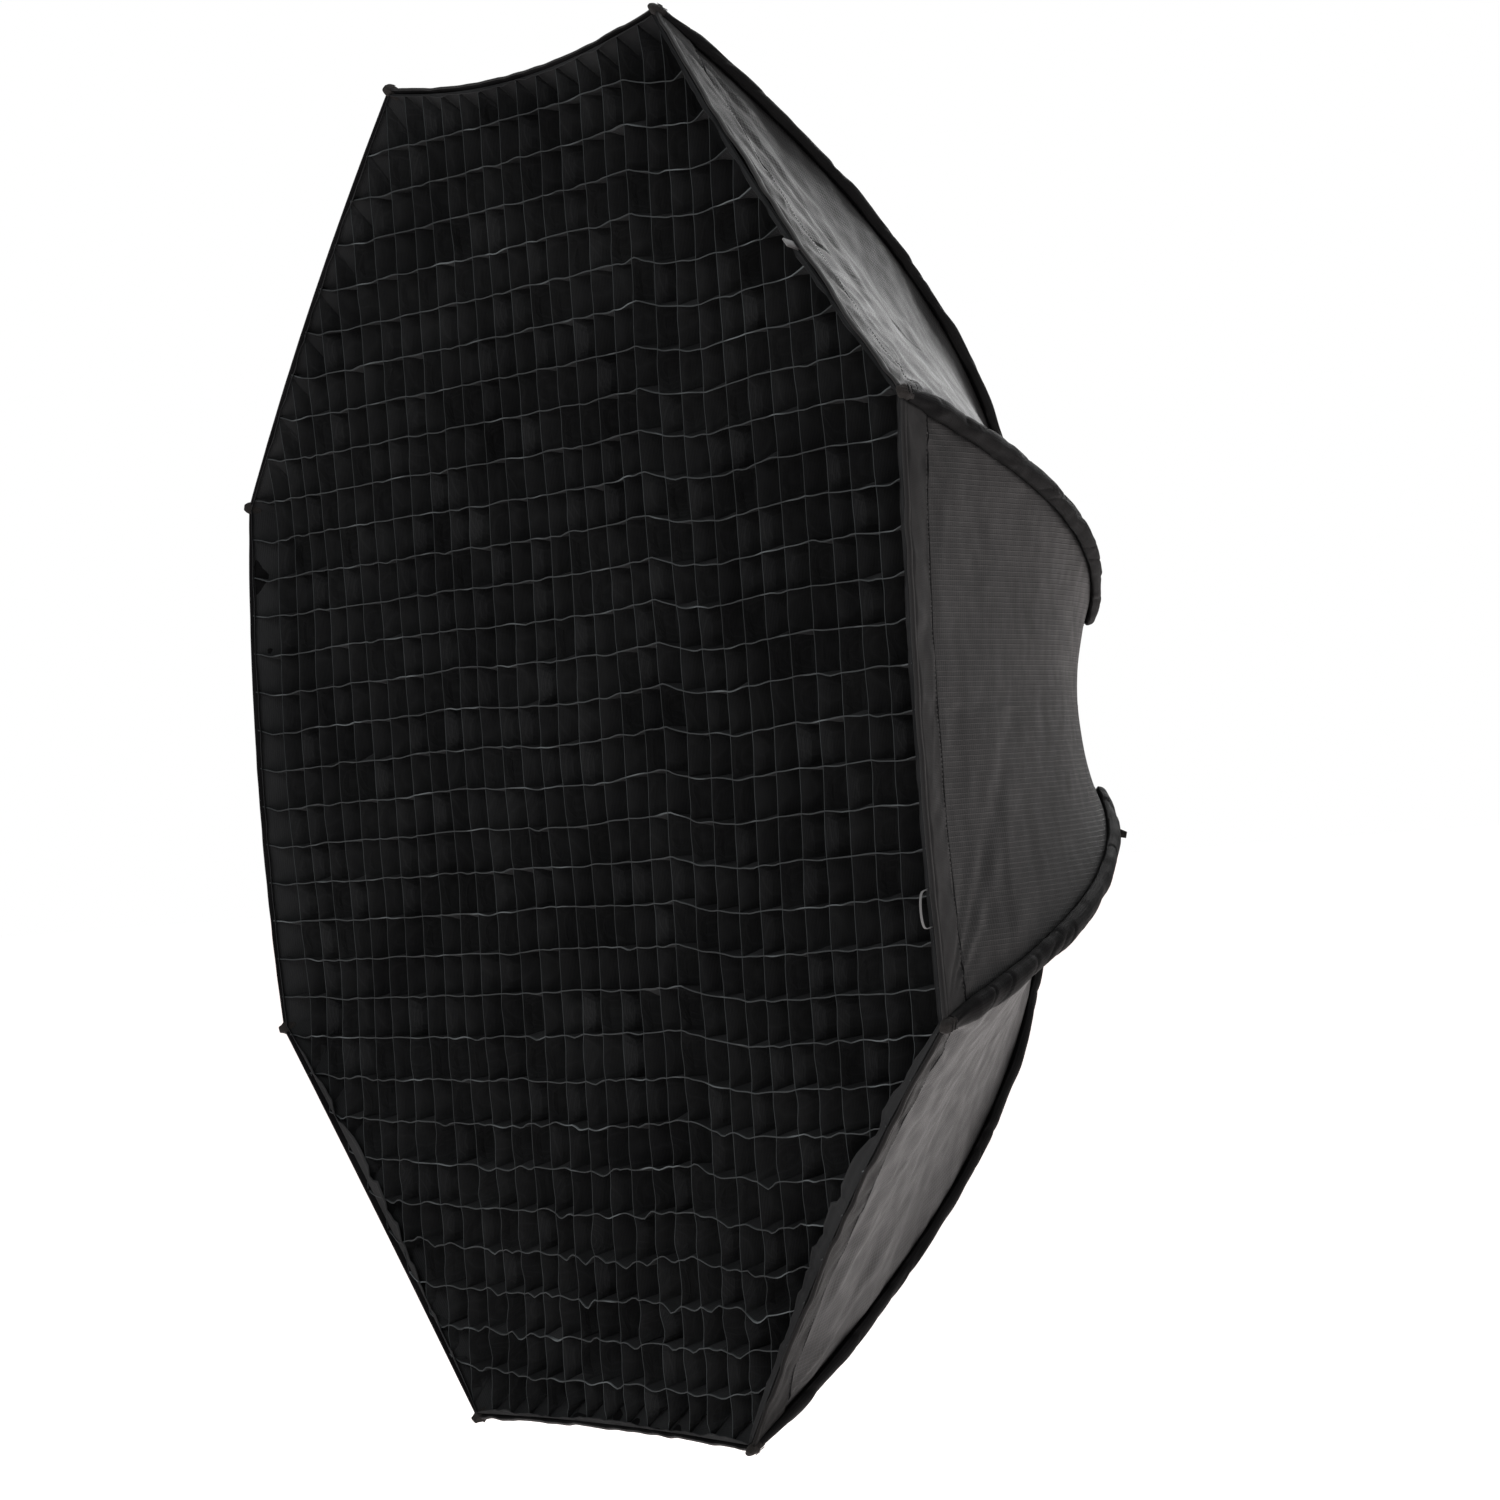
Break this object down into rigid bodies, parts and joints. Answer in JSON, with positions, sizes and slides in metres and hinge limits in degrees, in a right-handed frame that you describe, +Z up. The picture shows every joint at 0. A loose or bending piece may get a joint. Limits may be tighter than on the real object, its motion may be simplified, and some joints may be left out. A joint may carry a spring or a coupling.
{
  "type": "studio softbox",
  "caption": "Octagonal folding studio softbox with sprung ribs on a bayonet speedring, black fabric shell, front diffuser, inner baffle and egg-crate grid.",
  "frame": {"origin": "centre of the speedring's rear face, which faces the flash head", "axes": "+Y along the softbox's axis, back towards the flash head; the front faces -Y; +Z up, with flat sides of the octagon at the top and bottom"},
  "size_m": [1.4042, 0.5664, 1.4042],
  "materials": {
    "gore_fabric": "matt ripstop nylon, charcoal outside",
    "sleeve_fabric": "glossy black coated nylon",
    "grid_fabric": "matt black nylon",
    "diffusion_fabric": "white translucent nylon",
    "spring_steel": "black lacquered",
    "cast_metal": "black powder coat",
    "bright_steel": "machined",
    "black_plastic": "moulded"
  },
  "bodies": {
    "mount": {"bayonet_insert": "bright_steel"},
    "hub": {"speedring_plate": "cast_metal", "retaining_ring": "bright_steel", "hinge_pin_1": "bright_steel", "hinge_pin_2": "bright_steel", "hinge_pin_3": "bright_steel", "hinge_pin_4": "bright_steel", "hinge_pin_5": "bright_steel", "hinge_pin_6": "bright_steel", "hinge_pin_7": "bright_steel", "hinge_pin_8": "bright_steel"},
    "lock_knob": {"lock_knob": "black_plastic"},
    "rod_1": {"rod_foot_1": "cast_metal", "rod_1": "spring_steel", "rod_sleeve_1": "sleeve_fabric", "rod_tip_1": "black_plastic"},
    "rod_2": {"rod_foot_2": "cast_metal", "rod_2": "spring_steel", "rod_sleeve_2": "sleeve_fabric", "rod_tip_2": "black_plastic"},
    "rod_3": {"rod_foot_3": "cast_metal", "rod_3": "spring_steel", "rod_sleeve_3": "sleeve_fabric", "rod_tip_3": "black_plastic"},
    "rod_4": {"rod_foot_4": "cast_metal", "rod_4": "spring_steel", "rod_sleeve_4": "sleeve_fabric", "rod_tip_4": "black_plastic"},
    "rod_5": {"rod_foot_5": "cast_metal", "rod_5": "spring_steel", "rod_sleeve_5": "sleeve_fabric", "rod_tip_5": "black_plastic"},
    "rod_6": {"rod_foot_6": "cast_metal", "rod_6": "spring_steel", "rod_sleeve_6": "sleeve_fabric", "rod_tip_6": "black_plastic"},
    "rod_7": {"rod_foot_7": "cast_metal", "rod_7": "spring_steel", "rod_sleeve_7": "sleeve_fabric", "rod_tip_7": "black_plastic"},
    "rod_8": {"rod_foot_8": "cast_metal", "rod_8": "spring_steel", "rod_sleeve_8": "sleeve_fabric", "rod_tip_8": "black_plastic"},
    "gore_1": {"gore_1": "gore_fabric"},
    "gore_2": {"gore_2": "gore_fabric"},
    "gore_3": {"gore_3": "gore_fabric"},
    "gore_4": {"gore_4": "gore_fabric"},
    "gore_5": {"gore_5": "gore_fabric"},
    "gore_6": {"gore_6": "gore_fabric"},
    "gore_7": {"gore_7": "gore_fabric"},
    "gore_8": {"gore_8": "gore_fabric"},
    "front_left": {"grid_left": "grid_fabric", "diffuser_left": "diffusion_fabric"},
    "baffle_left": {"baffle_left": "diffusion_fabric"},
    "front_right": {"grid_right": "grid_fabric", "diffuser_right": "diffusion_fabric"},
    "baffle_right": {"baffle_right": "diffusion_fabric"}
  },
  "joints": [
    {"name": "speedring_turn", "type": "hinge", "parent": "mount", "child": "hub", "pos_m": [0, 0, 0], "axis": [0, 1, 0], "continuous": true},
    {"name": "lock_knob_turn", "type": "hinge", "parent": "hub", "child": "lock_knob", "pos_m": [0, -0.006, -0.1], "axis": [0, 0, -1], "range_deg": [0, 270]},
    {"name": "frame_fold", "type": "hinge", "parent": "hub", "child": "rod_1", "pos_m": [0.0813, -0.02, 0.03368], "axis": [0.3827, 0, -0.9239], "range_deg": [0, 52]},
    {"name": "rod_2_fold", "type": "hinge", "parent": "hub", "child": "rod_2", "pos_m": [0.03368, -0.02, 0.0813], "axis": [0.9239, 0, -0.3827], "range_deg": [0, 52]},
    {"name": "rod_3_fold", "type": "hinge", "parent": "hub", "child": "rod_3", "pos_m": [-0.03368, -0.02, 0.0813], "axis": [0.9239, 0, 0.3827], "range_deg": [0, 52]},
    {"name": "rod_4_fold", "type": "hinge", "parent": "hub", "child": "rod_4", "pos_m": [-0.0813, -0.02, 0.03368], "axis": [0.3827, 0, 0.9239], "range_deg": [0, 52]},
    {"name": "rod_5_fold", "type": "hinge", "parent": "hub", "child": "rod_5", "pos_m": [-0.0813, -0.02, -0.03368], "axis": [-0.3827, 0, 0.9239], "range_deg": [0, 52]},
    {"name": "rod_6_fold", "type": "hinge", "parent": "hub", "child": "rod_6", "pos_m": [-0.03368, -0.02, -0.0813], "axis": [-0.9239, 0, 0.3827], "range_deg": [0, 52]},
    {"name": "rod_7_fold", "type": "hinge", "parent": "hub", "child": "rod_7", "pos_m": [0.03368, -0.02, -0.0813], "axis": [-0.9239, 0, -0.3827], "range_deg": [0, 52]},
    {"name": "rod_8_fold", "type": "hinge", "parent": "hub", "child": "rod_8", "pos_m": [0.0813, -0.02, -0.03368], "axis": [-0.3827, 0, -0.9239], "range_deg": [0, 52]},
    {"name": "gore_1_fold", "type": "hinge", "parent": "rod_1", "child": "gore_1", "pos_m": [0.06735, -0.02, 0.06735], "axis": [0.6447, 0.4108, 0.6447], "range_deg": [0, 38.63], "deforming": ["gore_1"]},
    {"name": "gore_2_fold", "type": "hinge", "parent": "rod_2", "child": "gore_2", "pos_m": [0, -0.02, 0.09525], "axis": [0, 0.4108, 0.9117], "range_deg": [0, 38.63], "deforming": ["gore_2"]},
    {"name": "gore_3_fold", "type": "hinge", "parent": "rod_3", "child": "gore_3", "pos_m": [-0.06735, -0.02, 0.06735], "axis": [-0.6447, 0.4108, 0.6447], "range_deg": [0, 38.63], "deforming": ["gore_3"]},
    {"name": "gore_4_fold", "type": "hinge", "parent": "rod_4", "child": "gore_4", "pos_m": [-0.09525, -0.02, 0], "axis": [-0.9117, 0.4108, 0], "range_deg": [0, 38.63], "deforming": ["gore_4"]},
    {"name": "gore_5_fold", "type": "hinge", "parent": "rod_5", "child": "gore_5", "pos_m": [-0.06735, -0.02, -0.06735], "axis": [-0.6447, 0.4108, -0.6447], "range_deg": [0, 38.63], "deforming": ["gore_5"]},
    {"name": "gore_6_fold", "type": "hinge", "parent": "rod_6", "child": "gore_6", "pos_m": [0, -0.02, -0.09525], "axis": [0, 0.4108, -0.9117], "range_deg": [0, 38.63], "deforming": ["gore_6"]},
    {"name": "gore_7_fold", "type": "hinge", "parent": "rod_7", "child": "gore_7", "pos_m": [0.06735, -0.02, -0.06735], "axis": [0.6447, 0.4108, -0.6447], "range_deg": [0, 38.63], "deforming": ["gore_7"]},
    {"name": "gore_8_fold", "type": "hinge", "parent": "rod_8", "child": "gore_8", "pos_m": [0.09525, -0.02, 0], "axis": [0.9117, 0.4108, 0], "range_deg": [0, 38.63], "deforming": ["gore_8"]},
    {"name": "front_left_fold", "type": "hinge", "parent": "hub", "child": "front_left", "pos_m": [-0.204, -0.337, 0], "axis": [0, 0, 1], "range_deg": [0, 90], "deforming": ["grid_left", "diffuser_left"]},
    {"name": "baffle_left_fold", "type": "hinge", "parent": "hub", "child": "baffle_left", "pos_m": [-0.139, -0.221, 0], "axis": [0, 0, 1], "range_deg": [0, 90], "deforming": ["baffle_left"]},
    {"name": "front_right_fold", "type": "hinge", "parent": "hub", "child": "front_right", "pos_m": [0.204, -0.337, 0], "axis": [0, 0, -1], "range_deg": [0, 90], "deforming": ["grid_right", "diffuser_right"]},
    {"name": "baffle_right_fold", "type": "hinge", "parent": "hub", "child": "baffle_right", "pos_m": [0.139, -0.221, 0], "axis": [0, 0, -1], "range_deg": [0, 90], "deforming": ["baffle_right"]}
  ],
  "couplings": [
    {"joint": "rod_2_fold", "follows": "frame_fold", "ratio": 1},
    {"joint": "rod_3_fold", "follows": "frame_fold", "ratio": 1},
    {"joint": "rod_4_fold", "follows": "frame_fold", "ratio": 1},
    {"joint": "rod_5_fold", "follows": "frame_fold", "ratio": 1},
    {"joint": "rod_6_fold", "follows": "frame_fold", "ratio": 1},
    {"joint": "rod_7_fold", "follows": "frame_fold", "ratio": 1},
    {"joint": "rod_8_fold", "follows": "frame_fold", "ratio": 1},
    {"joint": "gore_1_fold", "follows": "frame_fold", "ratio": 0.74288},
    {"joint": "gore_2_fold", "follows": "frame_fold", "ratio": 0.74288},
    {"joint": "gore_3_fold", "follows": "frame_fold", "ratio": 0.74288},
    {"joint": "gore_4_fold", "follows": "frame_fold", "ratio": 0.74288},
    {"joint": "gore_5_fold", "follows": "frame_fold", "ratio": 0.74288},
    {"joint": "gore_6_fold", "follows": "frame_fold", "ratio": 0.74288},
    {"joint": "gore_7_fold", "follows": "frame_fold", "ratio": 0.74288},
    {"joint": "gore_8_fold", "follows": "frame_fold", "ratio": 0.74288},
    {"joint": "front_left_fold", "follows": "frame_fold", "ratio": 1.7308},
    {"joint": "baffle_left_fold", "follows": "frame_fold", "ratio": 1.7308},
    {"joint": "front_right_fold", "follows": "frame_fold", "ratio": 1.7308},
    {"joint": "baffle_right_fold", "follows": "frame_fold", "ratio": 1.7308}
  ]
}
